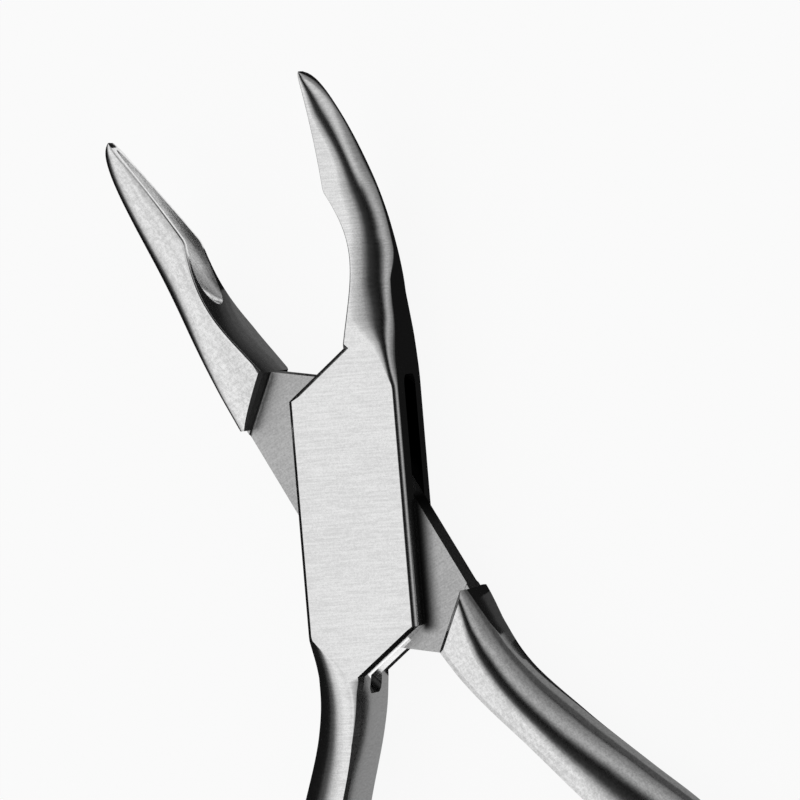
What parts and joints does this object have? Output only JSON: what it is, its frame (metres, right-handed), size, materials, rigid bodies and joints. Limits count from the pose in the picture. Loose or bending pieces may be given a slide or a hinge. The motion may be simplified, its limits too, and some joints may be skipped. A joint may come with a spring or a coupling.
{
  "type": "bone rongeur",
  "caption": "Single-action bone rongeur with a box joint, curved cupped jaws and a double leaf spring between bowed handles.",
  "frame": {"origin": "on the pivot axis at the back face, on the flush end of the pivot pin", "axes": "+Z along the pivot axis to the front face, +Y towards the jaw tips along the meeting line of the box half, +X to the box half's jaw"},
  "size_m": [0.0919, 0.1607, 0.0137],
  "materials": {
    "satin_steel": "satin, fine cross-wise grain",
    "insert_steel": "satin, with fine scratches where the web slides",
    "pin_steel": "ground flush with the plates",
    "spring_steel": "satin, lengthwise grain",
    "screw_steel": "turned"
  },
  "bodies": {
    "box": {"box_half": "satin_steel", "pivot_pin": "pin_steel", "box_leaf_spring": "spring_steel", "box_spring_screw": "screw_steel"},
    "insert": {"insert_half": "insert_steel", "insert_leaf_spring": "spring_steel", "insert_spring_screw": "screw_steel"}
  },
  "joints": [
    {"name": "jaw_pivot", "type": "hinge", "parent": "box", "child": "insert", "pos_m": [0, 0, 0], "axis": [0, 0, -1], "range_deg": [0, 27.9], "stiffness_Nm_per_rad": 2.5, "deforming": ["box_leaf_spring", "insert_leaf_spring"]}
  ]
}
